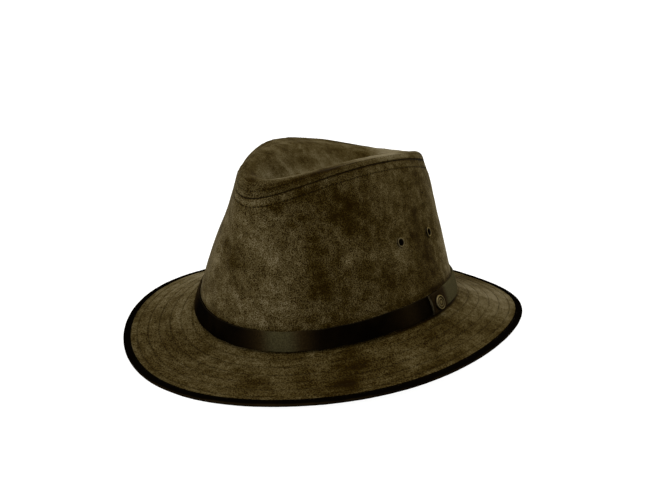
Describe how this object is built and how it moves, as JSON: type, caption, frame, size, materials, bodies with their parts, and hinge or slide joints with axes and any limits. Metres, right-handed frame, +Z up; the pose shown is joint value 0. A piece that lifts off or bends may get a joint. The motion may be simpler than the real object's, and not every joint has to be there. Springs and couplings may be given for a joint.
{
  "type": "drover hat",
  "caption": "Cut and sewn suede hat with a centre dented crown, a bound brim and a lapped leather strap held by a round stud, resting on its brim.",
  "frame": {"origin": "centre of the hat's outline, on the surface that the brim rests on", "axes": "+Z up, -Y to the front of the hat, +X to the wearer's left"},
  "size_m": [0.2706, 0.3218, 0.1342],
  "materials": {
    "suede": "mottled olive brown suede, matt",
    "binding_leather": "dark brown leather, soft sheen",
    "strap_leather": "smooth dark brown leather, soft sheen",
    "brass": "aged brass"
  },
  "bodies": {
    "root": {"crown_side": "suede", "crown_tip": "suede", "brim": "suede", "brim_binding": "binding_leather", "hatband": "strap_leather", "band_stud": "brass", "eyelet_left_front": "brass", "eyelet_left_rear": "brass", "eyelet_right_front": "brass", "eyelet_right_rear": "brass"}
  },
  "joints": []
}
